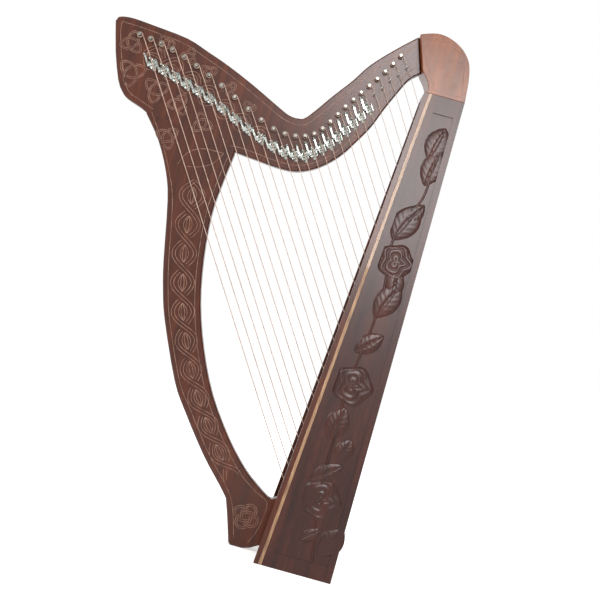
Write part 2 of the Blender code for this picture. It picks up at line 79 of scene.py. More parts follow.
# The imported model's main planes
NEAR_FACE_Y = -12 * MM
FAR_FACE_Y = 16 * MM
BOX_BOTTOM_HALF_WIDTH = 120 * MM
BOX_TAPER = 73 / 797
FIELD_DEPTH = 2.5 * MM
STRING_DOWN = np.array([0.544, 0.0, -0.839]) / math.hypot(0.544, 0.839)
TO_BASS = np.array([STRING_DOWN[2], 0.0, -STRING_DOWN[0]])
OUT = np.array([0.0, -1.0, 0.0])
STRING_COUNT = 27
PIN_RADIUS = 3.2 * MM

# Mesh making: points closer than this merge, and edges sharper than this stay sharp
MERGE_DISTANCE = 1e-7
SHARP_EDGE = math.radians(40)
# Two directions whose cosine is above this count as parallel
NEARLY_PARALLEL = 0.9


class Finish(Enum):
    """Named finishes of the harp's pieces."""

    ROSEWOOD = "rosewood"
    NICKEL = "nickel"
    STEEL = "pin_steel"
    NYLON = "nylon"


def linear(hex_colour: str) -> tuple[float, float, float, float]:
    """Turn an sRGB hex colour into linear values.

    Args:
        hex_colour: six hex digits.

    Returns:
        Red, green, blue and alpha.
    """
    parts = np.array([int(hex_colour[i : i + 2], 16) / 255 for i in (0, 2, 4)])
    low = parts / 12.92
    high = ((parts + 0.055) / 1.055) ** 2.4
    return (*np.where(parts <= 0.04045, low, high).tolist(), 1.0)


def add_node(tree: Any, kind: str, settings: dict[str, Any], links: dict[Any, Any]) -> Any:
    """Add a shader node.

    Args:
        tree: the material's node tree.
        kind: the node's type.
        settings: attributes of the node.
        links: input socket to a value or to an output socket.

    Returns:
        The new node.
    """
    node = tree.nodes.new(kind)
    for name, value in settings.items():
        setattr(node, name, value)
    for name, value in links.items():
        if isinstance(value, bpy.types.NodeSocket):
            tree.links.new(value, node.inputs[name])
        else:
            node.inputs[name].default_value = value
    return node


def colour_ramp(tree: Any, factor: Any, stops: tuple[tuple[float, str], ...]) -> Any:
    """Add a colour ramp and return its colour output.

    Args:
        tree: the material's node tree.
        factor: the socket that drives the ramp.
        stops: position and hex colour of each stop.

    Returns:
        The ramp's colour socket.
    """
    ramp = add_node(tree, "ShaderNodeValToRGB", {}, {"Fac": factor})
    elements = ramp.color_ramp.elements
    while len(elements) < len(stops):
        elements.new(0.5)
    for element, (position, colour) in zip(elements, stops):
        element.position = position
        element.color = linear(colour)
    return ramp.outputs["Color"]


def start_material(name: str, sockets: dict[str, Any]) -> tuple[Any, Any, Any]:
    """Start a node material and set the shader's constant sockets.

    Args:
        name: the material's name.
        sockets: shader socket to constant value.

    Returns:
        The material, its node tree and its shader.
    """
    material = bpy.data.materials.new(name)
    material.use_nodes = True
    shader = material.node_tree.nodes["Principled BSDF"]
    for socket, value in sockets.items():
        shader.inputs[socket].default_value = value
    return material, material.node_tree, shader


@dataclass(frozen=True)
class LacqueredRosewood:
    """Oiled dark rosewood under clear gloss lacquer: long dark pores, warm brown between them."""

    name: str = "lacquered_rosewood"
    stops: tuple[tuple[float, str], ...] = ((0.25, "200B05"), (0.5, "471D0C"), (0.78, "6B3115"))
    grain_width: float = 5 * MM
    grain_turn: float = 0.0
    lengthwise_scale: float = 0.06
    band_scale: float = 0.35
    pore_scale: float = 3.2
    pore_share: float = 0.35
    pore_strength: float = 0.12
    pore_depth: float = 0.2 * MM
    wood_roughness: tuple[float, float] = (0.30, 0.48)
    wood_specular: float = 0.15
    lacquer_weight: float = 0.4
    lacquer_roughness: float = 0.2

    def make(self) -> Any:
        """Build the material with grain that runs along the board."""
        sockets = {
            "Coat Weight": self.lacquer_weight, "Coat Roughness": self.lacquer_roughness,
            "Specular IOR Level": self.wood_specular,
        }
        fine = 1 / self.grain_width
        material, tree, shader = start_material(self.name, sockets)
        place = add_node(tree, "ShaderNodeTexCoord", {}, {})
        turned = add_node(
            tree, "ShaderNodeMapping", {},
            {"Vector": place.outputs["Object"], "Rotation": (0.0, self.grain_turn, 0.0),
             "Scale": (fine, fine, self.lengthwise_scale * fine)},
        )
        bands = add_node(
            tree, "ShaderNodeTexNoise", {},
            {"Vector": turned.outputs["Vector"], "Scale": self.band_scale, "Detail": 5.0, "Roughness": 0.6,
             "Distortion": 0.35},
        )
        pores = add_node(
            tree, "ShaderNodeTexNoise", {},
            {"Vector": turned.outputs["Vector"], "Scale": self.pore_scale, "Detail": 3.0, "Roughness": 0.7},
        )
        mixed = add_node(
            tree, "ShaderNodeMix", {"data_type": "FLOAT"},
            {0: self.pore_share, 2: bands.outputs["Fac"], 3: pores.outputs["Fac"]},
        )
        colour = colour_ramp(tree, mixed.outputs[0], self.stops)
        tree.links.new(colour, shader.inputs["Base Color"])
        rough = add_node(
            tree, "ShaderNodeMapRange", {},
            {"Value": pores.outputs["Fac"], "To Min": self.wood_roughness[0],
             "To Max": self.wood_roughness[1]},
        )
        tree.links.new(rough.outputs["Result"], shader.inputs["Roughness"])
        bump = add_node(
            tree, "ShaderNodeBump", {},
            {"Height": pores.outputs["Fac"], "Strength": self.pore_strength,
             "Distance": self.pore_depth},
        )
        tree.links.new(bump.outputs["Normal"], shader.inputs["Normal"])
        return material


@dataclass(frozen=True)
class SawnPlywood:
    """Birch plywood under thin lacquer: tan, with faint darker streaks along the grain."""

    name: str = "birch_plywood"
    stops: tuple[tuple[float, str], ...] = ((0.3, "6E4A2E"), (0.55, "9A7350"), (0.8, "B08A66"))
    streak_scale: tuple[float, float, float] = (700.0, 700.0, 25.0)
    roughness: float = 0.45
    lacquer_weight: float = 0.3

    def make(self) -> Any:
        """Build the material with streaks that run up the board."""
        sockets = {"Roughness": self.roughness, "Coat Weight": self.lacquer_weight}
        material, tree, shader = start_material(self.name, sockets)
        place = add_node(tree, "ShaderNodeTexCoord", {}, {})
        turned = add_node(
            tree, "ShaderNodeMapping", {},
            {"Vector": place.outputs["Object"], "Scale": self.streak_scale},
        )
        streaks = add_node(
            tree, "ShaderNodeTexNoise", {},
            {"Vector": turned.outputs["Vector"], "Scale": 0.6, "Detail": 4.0},
        )
        tree.links.new(colour_ramp(tree, streaks.outputs["Fac"], self.stops), shader.inputs["Base Color"])
        return material


@dataclass(frozen=True)
class PlatedMetal:
    """Plated or drawn metal: bright, with fine uneven wear in its gloss."""

    name: str
    light: str
    dark: str
    low_roughness: float
    high_roughness: float
    wear_scale: float = 420.0

    def make(self) -> Any:
        """Build the material."""
        material, tree, shader = start_material(self.name, {"Metallic": 1.0})
        place = add_node(tree, "ShaderNodeTexCoord", {}, {})
        wear = add_node(
            tree, "ShaderNodeTexNoise", {},
            {"Vector": place.outputs["Object"], "Scale": self.wear_scale, "Detail": 3.0},
        )
        stops = ((0.35, self.dark), (0.7, self.light))
        tree.links.new(colour_ramp(tree, wear.outputs["Fac"], stops), shader.inputs["Base Color"])
        rough = add_node(
            tree, "ShaderNodeMapRange", {},
            {"Value": wear.outputs["Fac"], "To Min": self.low_roughness, "To Max": self.high_roughness},
        )
        tree.links.new(rough.outputs["Result"], shader.inputs["Roughness"])
        return material


@dataclass(frozen=True)
class PaleLine:
    """Cut through the lacquer or drawn nylon: pale brownish pink, matt, slightly uneven."""

    name: str
    light: str
    dark: str
    roughness: float
    patch_scale: float = 130.0

    def make(self) -> Any:
        """Build the material."""
        material, tree, shader = start_material(self.name, {"Roughness": self.roughness})
        place = add_node(tree, "ShaderNodeTexCoord", {}, {})
        uneven = add_node(
            tree, "ShaderNodeTexNoise", {},
            {"Vector": place.outputs["Object"], "Scale": self.patch_scale, "Detail": 2.0},
        )
        stops = ((0.35, self.dark), (0.65, self.light))
        tree.links.new(colour_ramp(tree, uneven.outputs["Fac"], stops), shader.inputs["Base Color"])
        return material


def grid_mesh(name: str, points: np.ndarray, wrap: bool, caps: bool) -> Any:
    """Mesh of a grid of points, quads between neighbours.

    Args:
        name: the mesh's name.
        points: rows by columns by three.
        wrap: True if the last column joins the first.
        caps: True if the first and last rows are closed with one face each.

    Returns:
        The mesh.
    """
    rows, columns = points.shape[:2]
    index = np.arange(rows * columns).reshape(rows, columns)
    right = np.roll(index, -1, axis=1) if wrap else index[:, 1:]
    left = index if wrap else index[:, :-1]
    quads = np.stack([left[:-1], right[:-1], right[1:], left[1:]], axis=-1).reshape(-1, 4)
    faces = quads.tolist()
    if caps:
        faces.append(index[0, ::-1].tolist())
        faces.append(index[-1].tolist())
    mesh = bpy.data.meshes.new(name)
    mesh.from_pydata(points.reshape(-1, 3).tolist(), [], faces)
    return mesh


def finish_mesh(mesh: Any) -> Any:
    """Turn all faces outwards and shade them smooth, apart from sharp edges."""
    builder = bmesh.new()
    builder.from_mesh(mesh)
    bmesh.ops.remove_doubles(builder, verts=builder.verts, dist=MERGE_DISTANCE)
    bmesh.ops.recalc_face_normals(builder, faces=builder.faces)
    builder.to_mesh(mesh)
    builder.free()
    mesh.shade_smooth()
    mesh.set_sharp_from_angle(angle=SHARP_EDGE)
    return mesh


def joined(name: str, meshes: list[Any]) -> Any:
    """One mesh that holds several.

    Args:
        name: the new mesh's name.
        meshes: meshes to join; they are removed.

    Returns:
        The joined mesh.
    """
    builder = bmesh.new()
    for mesh in meshes:
        builder.from_mesh(mesh)
    whole = bpy.data.meshes.new(name)
    builder.to_mesh(whole)
    builder.free()
    for mesh in meshes:
        bpy.data.meshes.remove(mesh)
    return finish_mesh(whole)


def tube_points(path: np.ndarray, radius: np.ndarray, sides: int) -> np.ndarray:
    """Rings round a path: at each point a circle in the plane square to the path.

    Args:
        path: points of the middle line.
        radius: radius at each point.
        sides: number of points in a ring.

    Returns:
        Rows of ring points.
    """
    along = np.gradient(path, axis=0)
    along /= np.linalg.norm(along, axis=1, keepdims=True)
    helper = np.where(np.abs(along[:, 1:2]) < NEARLY_PARALLEL, [[0.0, 1.0, 0.0]], [[1.0, 0.0, 0.0]])
    first = np.cross(along, helper)
    first /= np.linalg.norm(first, axis=1, keepdims=True)
    second = np.cross(along, first)
    angle = np.linspace(0, 2 * np.pi, sides, endpoint=False)
    cos, sin = np.cos(angle)[None, :, None], np.sin(angle)[None, :, None]
    spokes = first[:, None] * cos + second[:, None] * sin
    return path[:, None] + spokes * radius.reshape(-1, 1, 1)


def lathe_points(profile: np.ndarray, base: np.ndarray, axis: np.ndarray, sides: int) -> np.ndarray:
    """Rings of a turned piece.

    Args:
        profile: rows of distance along the axis and radius.
        base: start of the axis.
        axis: its unit direction.
        sides: number of points in a ring.

    Returns:
        Rows of ring points.
    """
    helper = np.array([0.0, 0.0, 1.0]) if abs(axis[2]) < NEARLY_PARALLEL else np.array([1.0, 0.0, 0.0])
    first = np.cross(axis, helper)
    first /= np.linalg.norm(first)
    second = np.cross(axis, first)
    angle = np.linspace(0, 2 * np.pi, sides, endpoint=False)
    spokes = np.cos(angle)[:, None] * first + np.sin(angle)[:, None] * second
    return base + profile[:, :1, None] * axis + profile[:, 1:2, None] * spokes[None]


def smooth_line(points: Any, samples: int) -> np.ndarray:
    """Smooth cubic curve through points: each piece follows its four nearest points.

    Args:
        points: X and Z in millimetres.
        samples: number of points on the curve.

    Returns:
        The curve's points in metres.
    """
    nodes = np.array(points, float) * MM
    padded = np.vstack([2 * nodes[0] - nodes[1], nodes, 2 * nodes[-1] - nodes[-2]])
    t = np.linspace(0, len(points) - 1 - 1e-9, samples)
    whole = t.astype(int)
    t = (t - whole)[:, None]
    a, b, c, d = (padded[whole + shift] for shift in range(4))
    square = 2 * a - 5 * b + 4 * c - d
    cube = 3 * b - a - 3 * c + d
    return 0.5 * (2 * b + (c - a) * t + square * t**2 + cube * t**3)


def distance_along(line: np.ndarray) -> np.ndarray:
    """Distance of each point of a line from its start, along it."""
    steps = np.linalg.norm(np.diff(line, axis=0), axis=1)
    return np.concatenate([[0.0], np.cumsum(steps)])


def normals_2d(line: np.ndarray) -> np.ndarray:
    """Unit normals of a line in the board's plane."""
    along = np.gradient(line, axis=0)
    along /= np.maximum(np.linalg.norm(along, axis=1, keepdims=True), 1e-12)
    return np.stack([-along[:, 1], along[:, 0]], axis=1)


def photo_to_plane(pixel: tuple[float, float], towards_camera: float) -> tuple[float, float]:
    """X and Z of a photo pixel on a plane that stands nearer the camera than the middle.

    Args:
        pixel: place in the 600 by 600 photograph.
        towards_camera: distance of the plane from the middle, in metres.

    Returns:
        X and Z in metres.
    """
    shrink = (CAMERA_DISTANCE - towards_camera) / CAMERA_DISTANCE
    dx = PHOTO_CENTRE_PIXEL + (pixel[0] - PHOTO_CENTRE_PIXEL) * shrink - PHOTO_FOOT_PIXEL[0]
    dy = PHOTO_CENTRE_PIXEL + (pixel[1] - PHOTO_CENTRE_PIXEL) * shrink - PHOTO_FOOT_PIXEL[1]
    cos, sin = math.cos(PHOTO_LEAN), math.sin(PHOTO_LEAN)
    scale = PHOTO_MM_PER_PIXEL * MM
    return scale * (cos * dx + sin * dy), scale * (sin * dx - cos * dy)


@dataclass
class Workshop:
    """Holds the finishes and puts finished pieces into the scene."""

    materials: dict[str, Any] = field(default_factory=dict)

    def prepare(self) -> None:
        """Make each finish once."""
        finishes = [
            LacqueredRosewood(),
            LacqueredRosewood(name="lacquered_rosewood_neck", grain_turn=math.radians(62)),
            LacqueredRosewood(
                name="lacquered_rosewood_cap", stops=((0.25, "47200B"), (0.5, "743A15"), (0.78, "96531F"))
            ),
            LacqueredRosewood(
                name="carved_rosewood", stops=((0.25, "1A0906"), (0.5, "38160D"), (0.78, "552617")),
                lacquer_roughness=0.26,
            ),
            SawnPlywood(),
            # Levers, brackets, screws and bridge pins
            PlatedMetal("nickel_plate", "C2C5BF", "7C807A", 0.16, 0.3),
            # Tuning pins
            PlatedMetal("pin_steel", "9A9892", "5E5C58", 0.25, 0.4),
            # Bare wood where the engraving goes through the lacquer
            PaleLine("cut_line", "A07A66", "6F4C3B", 0.6),
            # Strings and their windings
            PaleLine("drawn_nylon", "C8AE9E", "A88C7C", 0.35),
        ]
        for finish in finishes:
            self.materials[finish.name] = finish.make()

    def place(self, name: str, mesh: Any, finish: str, slot: Finish, body: str) -> Any:
        """Put a mesh into the scene as a finished piece.

        Args:
            name: the piece's name.
            mesh: its mesh.
            finish: name of its material.
            slot: not used.
            body: the body that it rides on.

        Returns:
            The new object.
        """
        mesh.materials.clear()
        mesh.materials.append(self.materials[finish])
        piece = bpy.data.objects.new(name, mesh)
        bpy.context.scene.collection.objects.link(piece)
        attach(piece, body)
        LOG.info("%s: %d vertices", name, len(mesh.vertices))
        return piece

    def dress(self, node: Any, finish: str) -> None:
        """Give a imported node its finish."""
        node.data.materials.clear()
        node.data.materials.append(self.materials[finish])


@dataclass
class Engraving:
    """Knotwork and border lines cut through the lacquer of neck, pillar and shoulder."""

    line_width: float = 0.8 * MM
    line_height: float = 0.12 * MM
    band_half_width: float = 2.6 * MM
    lines: list[np.ndarray] = field(default_factory=list)

    # Border lines, 9 mm inside the edges, as X and Z in millimetres
    pillar_outer: tuple = (
        (-424, 650), (-394, 606), (-369, 560), (-352, 516), (-332, 421), (-320, 374), (-304, 327),
        (-263, 238), (-234, 198), (-187, 138), (-150, 99), (-130, 74), (-119, 48), (-108, 12),
    )
    pillar_inner: tuple = (
        (-284, 616), (-291, 565), (-294, 513), (-287, 438), (-272, 365), (-247, 294), (-212, 224),
        (-165, 160), (-127, 119), (-96, 97), (-72, 84), (-70, 60), (-76, 30), (-84, 12),
    )
    neck_border: tuple = (
        (-424, 656), (-450, 665), (-466, 671), (-478, 684), (-499, 732), (-511, 777), (-500, 781),
        (-458, 779), (-402, 773), (-365, 761), (-328, 748), (-280, 728), (-229, 704), (-207, 696),
        (-188, 695), (-170, 704), (-136, 750), (-112, 783), (-92, 813), (-61, 846), (-34, 870),
    )
    neck_underside: tuple = (
        (-26, 838), (-41, 818), (-55, 789), (-68, 759), (-79, 730), (-94, 702), (-114, 670),
        (-142, 644), (-172, 630), (-203, 628), (-240, 631), (-268, 633), (-285, 632),
    )
    cap_border: tuple = (
        (-24, 878), (-14, 884), (0, 887), (14, 885), (30, 877), (42, 866), (49, 852), (53, 830), (56, 806),
        (40, 804), (20, 804), (9, 805), (8, 813), (1, 824), (-6, 834), (-12, 846), (-24, 878),
    )
    crescent_over: tuple = ((-361, 580), (-350, 602), (-328, 615), (-292, 617))
    crescent_under: tuple = ((-292, 617), (-304, 598), (-322, 586), (-345, 580))
    # Joint between neck and pillar, and the width and depth of the rounded edges that meet there
    joint: tuple = ((-432, 647.7), (-277, 624.4))
    joint_width: float = 4.3 * MM
    joint_depth: float = 1.8 * MM
    # Middle lines of the two braids, then the length of a full twist, and the swing at start and end
    pillar_middle: tuple = (
        (-327, 560), (-322, 520), (-317, 480), (-309, 430), (-298, 382), (-283, 335), (-263, 290),
        (-243, 248), (-216, 205), (-172, 146), (-136, 108),
    )
    neck_middle: tuple = (
        (-462, 742), (-425, 733), (-385, 718), (-345, 702), (-305, 685), (-268, 670), (-236, 660),
    )
    pillar_twist: tuple = (96 * MM, 19 * MM, 13 * MM)
    neck_twist: tuple = (72 * MM, 20 * MM, 11 * MM)
    braid_gap: float = 7 * MM
    # Pointed eyes between the braid's strands, and where their four lines run
    eye_half_length: float = 15 * MM
    eye_half_width: float = 7 * MM
    eye_lines: tuple = (1.0, -1.0, 0.4, -0.4)
    # Knots: centre in millimetres, size in millimetres, turn
    foot_knot: tuple = ((-98, 52), 21, 0.4)
    foot_knot_lobes: int = 4
    foot_knot_half_width: float = 1.612 * MM
    foot_knot_gap: float = 3.4 * MM
    triquetra_half_width: float = 1.3 * MM
    triquetra_gap: float = 3 * MM
    board_triquetras: tuple = (
        ((-486, 752), 20, 1.5), ((-474, 705), 24, 0.5), ((-428, 688), 22, 2.6), ((-432, 765), 15, 0.2),
        ((-385, 675), 19, 1.3), ((-390, 755), 15, 1.4), ((-352, 738), 15, 0.6), ((-340, 655), 18, 2.0),
        ((-312, 721), 14, 1.0), ((-272, 700), 12, 0.3), ((-389, 618), 20, 0.9),
    )
    cap_triquetras: tuple = (((27, 846), 20, 0.6), ((4, 862), 13, 1.5), ((32, 819), 12, 0.1))

    def add_line(self, line: np.ndarray) -> None:
        """Keep one line if it is long enough to show."""
        if len(line) > 2:
            self.lines.append(line)

    def add_broken(self, line: np.ndarray, keep: np.ndarray) -> None:
        """Keep the stretches of a line where keep is true."""
        breaks = np.flatnonzero(np.diff(keep.astype(int))) + 1
        for stretch, mask in zip(np.split(line, breaks), np.split(keep, breaks)):
            if mask[0]:
                self.add_line(stretch)

    def add_band(self, middle: np.ndarray, half: float, under: np.ndarray, gap: float) -> None:
        """Add both edges of a woven band, broken where it passes under another.

        Args:
            middle: the band's middle line.
            half: half the band's width.
            under: indices of the points where it passes under.
            gap: distance along the band that is hidden each side of such a point.
        """
        length = distance_along(middle)
        keep = np.ones(len(middle), bool)
        for index in under:
            near = np.abs(length - length[index]) < gap
            keep &= ~near
        side = normals_2d(middle) * half
        self.add_broken(middle + side, keep)
        self.add_broken(middle - side, keep)

    def crossings(self, middle: np.ndarray) -> np.ndarray:
        """Find where a closed line crosses itself.

        Two pieces of the line cross where the shares t and u, at which their straight
        continuations meet, both lie between 0 and 1. Close neighbours don't count.

        Args:
            middle: points of the line.

        Returns:
            Indices of the crossing pieces, in order along the line.
        """
        count = len(middle) - 1
        start, step = middle[:-1], np.diff(middle, axis=0)
        gap = start[None] - start[:, None]
        cross = step[:, None, 0] * step[None, :, 1] - step[:, None, 1] * step[None, :, 0]
        safe = np.where(np.abs(cross) < 1e-18, 1.0, cross)
        t = (gap[..., 0] * step[None, :, 1] - gap[..., 1] * step[None, :, 0]) / safe
        u = (gap[..., 0] * step[:, None, 1] - gap[..., 1] * step[:, None, 0]) / safe
        order = np.arange(count)
        apart = np.abs(order[:, None] - order[None, :])
        apart = np.minimum(apart, count - apart)
        hits = (t >= 0) & (t < 1) & (u >= 0) & (u < 1) & (apart > 3)
        return np.sort(np.argwhere(hits)[:, 0])

    def add_knot(self, centre: tuple[float, float], size: float, turn: float) -> None:
        """Add the foot's closed knot, whose band weaves over and under itself.

        The middle line is a circle with a second one of the opposite sense on it, which makes
        the lobes.

        Args:
            centre: X and Z in millimetres.
            size: reach of the lobes in millimetres.
            turn: turn about the centre, in radians.
        """
        t = np.linspace(0, 2 * np.pi, 361)
        inner = self.foot_knot_lobes - 1
        x = np.sin(t) + 2 * np.sin(inner * t)
        z = np.cos(t) - 2 * np.cos(inner * t)
        shape = np.stack([x, z], axis=1) * size * MM / 3
        cos, sin = math.cos(turn), math.sin(turn)
        middle = shape @ np.array([[cos, sin], [-sin, cos]]) + np.array(centre) * MM
        under = self.crossings(middle)[::2]
        self.add_band(middle, self.foot_knot_half_width, under, self.foot_knot_gap)

    def add_triquetra(self, centre: tuple[float, float], size: float, turn: float) -> None:
        """Add three half circles through one another's centres, woven over and under.

        Args:
            centre: X and Z in millimetres.
            size: distance of the three points from the centre, in millimetres.
            turn: direction of the first arc, in radians.
        """
        radius = size * MM * math.sqrt(3) / 2
        for heading in turn + np.arange(3) * 2 * np.pi / 3:
            towards = np.array([np.cos(heading), np.sin(heading)])
            hub = np.array(centre) * MM - radius / math.sqrt(3) * towards
            angle = heading + np.linspace(-np.pi / 2, np.pi / 2, 91)
            middle = hub + radius * np.stack([np.cos(angle), np.sin(angle)], axis=1)
            # The other arcs cross at a third and two thirds: this one goes under at the first
            under = np.array([len(angle) // 3])
            self.add_band(middle, self.triquetra_half_width, under, self.triquetra_gap)

    def add_braid(self, path: tuple, period: float, wide: float, narrow: float) -> None:
        """Twist two double strands along a path, with small pointed eyes between them.

        Args:
            path: X and Z points in millimetres.
            period: length of one full twist.
            wide: swing of the strands at the start.
            narrow: swing of the strands at the end.
        """
        middle = smooth_line(path, 700)
        length = distance_along(middle)
        side = normals_2d(middle)
        swing = np.interp(length, [0, length[-1]], [wide, narrow])[:, None]
        phase = 2 * np.pi * length / period
        for strand, sign in enumerate((1, -1)):
            line = middle + side * swing * sign * np.sin(phase)[:, None]
            turns = np.arange(1, int(2 * length[-1] / period) + 1) * period / 2
            under = [int(np.argmin(np.abs(length - meeting))) for meeting in turns[strand::2]]
            self.add_band(line, self.band_half_width, np.array(under, int), self.braid_gap)
        eyes = np.arange(0.25, 2 * length[-1] / period, 0.5) * period
        for place in eyes[eyes < length[-1] - self.eye_half_length * 2 / 3]:
            near = (np.abs(length - place) < self.eye_half_length).nonzero()[0]
            bend = np.cos((length[near] - place) / (2 * self.eye_half_length) * np.pi)
            lens = bend[:, None] * self.eye_half_width
            for share in self.eye_lines:
                self.add_line(middle[near] + side[near] * lens * share)

    def design(self) -> None:
        """Lay out every line of the neck and pillar."""
        for border in (self.pillar_outer, self.pillar_inner, self.neck_border, self.neck_underside):
            self.add_line(smooth_line(border, 260))
        for edge in (self.crescent_over, self.crescent_under):
            self.add_line(smooth_line(edge, 60))
        self.add_braid(self.pillar_middle, *self.pillar_twist)
        self.add_braid(self.neck_middle, *self.neck_twist)
        self.add_knot(*self.foot_knot)
        for knot in self.board_triquetras:
            self.add_triquetra(*knot)

    def strips(
        self, name: str, lines: list[np.ndarray], offset: float, taper: float, outward: float
    ) -> Any:
        """Mesh of lines as thin strips on a face.

        Args:
            name: the mesh's name.
            lines: X and Z points of each line.
            offset: distance of the face from the middle at the floor.
            taper: how much nearer the face comes for each metre up.
            outward: -1 for the face towards the strings, 1 for the other.

        Returns:
            The mesh.
        """
        profile = np.array([[-0.5, -0.3], [-0.42, 1.0], [0.42, 1.0], [0.5, -0.3]])
        meshes = []
        for line in lines:
            side = normals_2d(line)
            flat = line[:, None] + side[:, None] * profile[None, :, :1] * self.line_width
            reach = offset - taper * flat[..., 1] + profile[:, 1] * self.line_height
            points = np.stack([flat[..., 0], outward * reach, flat[..., 1]], axis=-1)
            meshes.append(grid_mesh(name, points, wrap=True, caps=True))
        return joined(name, meshes)

    def filler(self, name: str, offset: float, outward: float) -> Any:
        """Wedge of lacquer that levels the joint between neck and pillar.

        Args:
            name: the mesh's name.
            offset: distance of the face from the middle.
            outward: -1 for the face towards the strings, 1 for the other.

        Returns:
            The mesh.
        """
        line = np.linspace(*np.array(self.joint) * MM, 40)
        side = normals_2d(line)
        profile = np.array([[-0.5, 0.0], [0.5, 0.0], [0.03, -1.0], [-0.03, -1.0]])
        flat = line[:, None] + side[:, None] * profile[None, :, :1] * self.joint_width
        reach = np.broadcast_to(offset + profile[:, 1] * self.joint_depth, flat.shape[:2])
        points = np.stack([flat[..., 0], outward * reach, flat[..., 1]], axis=-1)
        return finish_mesh(grid_mesh(name, points, wrap=True, caps=True))

    def build(self, shop: Workshop) -> None:
        """Cut the design into both faces of the boards and of the shoulder."""
        self.design()
        board, self.lines = self.lines, []
        self.add_line(smooth_line(self.cap_border, 200))
        for knot in self.cap_triquetras:
            self.add_triquetra(*knot)
        for word, offset, outward in (("near", -NEAR_FACE_Y, -1.0), ("far", FAR_FACE_Y, 1.0)):
            name = f"{word}_engraving"
            cut = self.strips(name, board, offset, 0.0, outward)
            shop.place(name, cut, "cut_line", Finish.ROSEWOOD, "frame")
            name = f"{word}_shoulder_engraving"
            cut = self.strips(name, self.lines, BOX_BOTTOM_HALF_WIDTH, BOX_TAPER, outward)
            shop.place(name, cut, "cut_line", Finish.ROSEWOOD, "frame")
            name = f"{word}_joint_filler"
            filler = self.filler(name, offset, outward)
            shop.place(name, filler, "lacquered_rosewood", Finish.ROSEWOOD, "frame")


